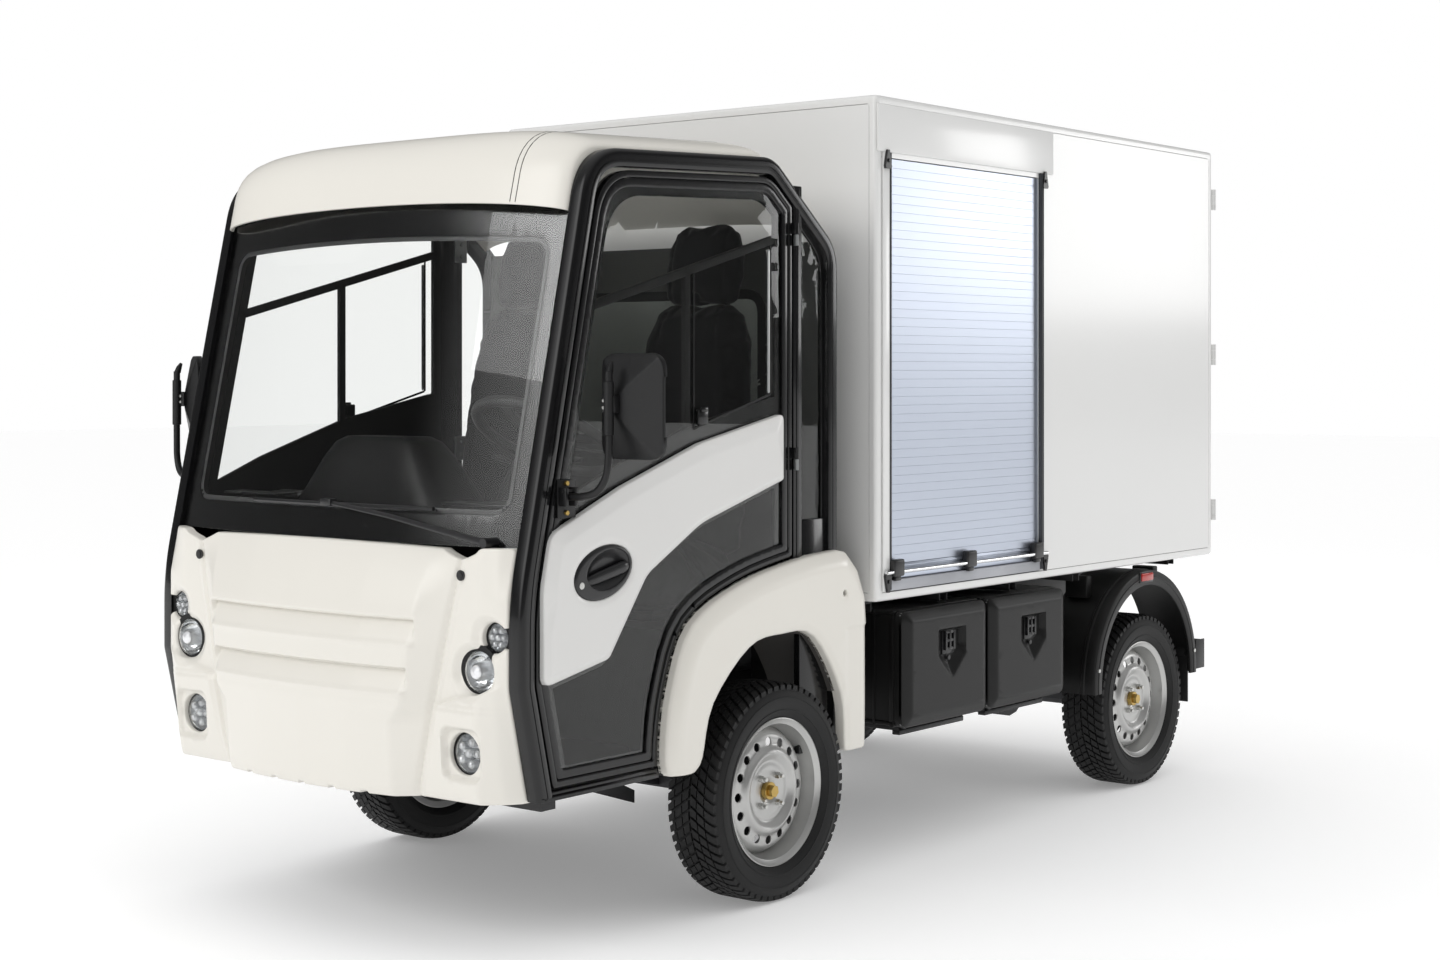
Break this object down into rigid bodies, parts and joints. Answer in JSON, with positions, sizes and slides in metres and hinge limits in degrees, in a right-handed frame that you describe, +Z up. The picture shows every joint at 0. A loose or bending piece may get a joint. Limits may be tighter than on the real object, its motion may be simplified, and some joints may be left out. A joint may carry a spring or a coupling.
{
  "type": "electric mini truck with a panelled load box",
  "caption": "Narrow electric mini truck: a glazed cab on black side hoops, a ladder chassis and a white load box with a roller shutter, rear doors and side toolboxes.",
  "frame": {"origin": "on the ground under the middle of the whole width and length", "axes": "+X the vehicle's left, -Y the front, +Y the rear and its longest extent, +Z up"},
  "size_m": [1.828, 3.521, 2.145],
  "materials": {
    "warm_white": "warm off-white moulded panel, semi-gloss",
    "box_white": "off-white smooth panel, semi-gloss",
    "gloss_black": "black, glossy",
    "black_steel": "black, satin",
    "black_plastic": "black, fine grain",
    "tyre_rubber": "black rubber",
    "silver_steel": "silver paint",
    "cast_steel": "dark, satin",
    "tinted_glass": "smoke tint",
    "clear_glass": "clear",
    "seat_cloth": "black woven cloth",
    "anodised": "fine ribbed, satin",
    "lamp_lens": "clear moulded lens over a reflector"
  },
  "bodies": {
    "truck_body": {"chassis_frame": "black_steel", "box_subframe": "black_steel", "battery_pack": "black_steel", "front_axle": "cast_steel", "rear_axle": "cast_steel", "cab_floor": "black_plastic", "cab_back_wall": "black_plastic", "windscreen": "clear_glass", "windscreen_frame": "gloss_black", "roof_cap": "warm_white", "front_panel": "warm_white", "dashboard": "black_plastic", "box_floor": "box_white", "box_roof": "box_white", "box_front_wall": "box_white", "box_right_wall": "box_white", "box_left_wall": "box_white", "shutter_curtain": "anodised", "shutter_frame": "black_steel", "rear_beam": "black_steel", "side_hoop_left": "gloss_black", "lamp_cluster_left": "lamp_lens", "fender_left": "warm_white", "seat_left": "seat_cloth", "toolboxes_left": "black_plastic", "mudguard_left": "black_plastic", "side_hoop_right": "gloss_black", "lamp_cluster_right": "lamp_lens", "fender_right": "warm_white", "seat_right": "seat_cloth", "toolboxes_right": "black_plastic", "mudguard_right": "black_plastic"},
    "steering_wheel_body": {"steering_wheel": "black_plastic"},
    "cab_door_left_body": {"door_frame_left": "gloss_black", "door_pane_left": "tinted_glass", "door_panel_left": "warm_white", "mirror_left": "black_plastic"},
    "knuckle_left_body": {"knuckle_left": "cast_steel"},
    "wheel_front_left_body": {"tyre_front_left": "tyre_rubber", "rim_front_left": "silver_steel"},
    "wheel_rear_left_body": {"tyre_rear_left": "tyre_rubber", "rim_rear_left": "silver_steel"},
    "box_door_left_body": {"rear_door_left": "box_white"},
    "lid_front_left_body": {"toolbox_lid_front_left": "black_plastic"},
    "lid_rear_left_body": {"toolbox_lid_rear_left": "black_plastic"},
    "cab_door_right_body": {"door_frame_right": "gloss_black", "door_pane_right": "tinted_glass", "door_panel_right": "warm_white", "mirror_right": "black_plastic"},
    "knuckle_right_body": {"knuckle_right": "cast_steel"},
    "wheel_front_right_body": {"tyre_front_right": "tyre_rubber", "rim_front_right": "silver_steel"},
    "wheel_rear_right_body": {"tyre_rear_right": "tyre_rubber", "rim_rear_right": "silver_steel"},
    "box_door_right_body": {"rear_door_right": "box_white"},
    "lid_front_right_body": {"toolbox_lid_front_right": "black_plastic"},
    "lid_rear_right_body": {"toolbox_lid_rear_right": "black_plastic"}
  },
  "joints": [
    {"name": "cab_door_left_hinge", "type": "hinge", "parent": "truck_body", "child": "cab_door_left_body", "pos_m": [0.67, -0.619, 1.15], "axis": [0, 0, 1], "range_deg": [0, 85]},
    {"name": "steer_left", "type": "hinge", "parent": "truck_body", "child": "knuckle_left_body", "pos_m": [0.52, -0.7195, 0.285], "axis": [0, 0, 1], "range_deg": [-30, 30]},
    {"name": "roll_front_left", "type": "hinge", "parent": "knuckle_left_body", "child": "wheel_front_left_body", "pos_m": [0.617, -0.7195, 0.285], "axis": [1, 0, 0], "continuous": true},
    {"name": "roll_rear_left", "type": "hinge", "parent": "truck_body", "child": "wheel_rear_left_body", "pos_m": [0.59, 1.3255, 0.285], "axis": [1, 0, 0], "continuous": true},
    {"name": "box_door_left_hinge", "type": "hinge", "parent": "truck_body", "child": "box_door_left_body", "pos_m": [0.712, 1.7685, 1.45], "axis": [0, 0, -1], "range_deg": [0, 270]},
    {"name": "lid_front_left_hinge", "type": "hinge", "parent": "truck_body", "child": "lid_front_left_body", "pos_m": [0.66, 0.0905, 0.366], "axis": [0, 1, 0], "range_deg": [0, 95]},
    {"name": "lid_rear_left_hinge", "type": "hinge", "parent": "truck_body", "child": "lid_rear_left_body", "pos_m": [0.66, 0.5505, 0.366], "axis": [0, 1, 0], "range_deg": [0, 95]},
    {"name": "cab_door_right_hinge", "type": "hinge", "parent": "truck_body", "child": "cab_door_right_body", "pos_m": [-0.67, -0.619, 1.15], "axis": [0, 0, -1], "range_deg": [0, 85]},
    {"name": "steer_right", "type": "hinge", "parent": "truck_body", "child": "knuckle_right_body", "pos_m": [-0.52, -0.7195, 0.285], "axis": [0, 0, 1], "range_deg": [-30, 30]},
    {"name": "roll_front_right", "type": "hinge", "parent": "knuckle_right_body", "child": "wheel_front_right_body", "pos_m": [-0.617, -0.7195, 0.285], "axis": [1, 0, 0], "continuous": true},
    {"name": "roll_rear_right", "type": "hinge", "parent": "truck_body", "child": "wheel_rear_right_body", "pos_m": [-0.59, 1.3255, 0.285], "axis": [1, 0, 0], "continuous": true},
    {"name": "box_door_right_hinge", "type": "hinge", "parent": "truck_body", "child": "box_door_right_body", "pos_m": [-0.712, 1.7685, 1.45], "axis": [0, 0, 1], "range_deg": [0, 270]},
    {"name": "lid_front_right_hinge", "type": "hinge", "parent": "truck_body", "child": "lid_front_right_body", "pos_m": [-0.66, 0.0905, 0.366], "axis": [0, -1, 0], "range_deg": [0, 95]},
    {"name": "lid_rear_right_hinge", "type": "hinge", "parent": "truck_body", "child": "lid_rear_right_body", "pos_m": [-0.66, 0.5505, 0.366], "axis": [0, -1, 0], "range_deg": [0, 95]},
    {"name": "steering_turn", "type": "hinge", "parent": "truck_body", "child": "steering_wheel_body", "pos_m": [0.325, -1.2195, 1.215], "axis": [0, 0.5, 0.866], "range_deg": [-480, 480]}
  ],
  "couplings": [
    {"joint": "steer_right", "follows": "steer_left", "ratio": 1},
    {"joint": "steering_turn", "follows": "steer_left", "ratio": 16}
  ]
}
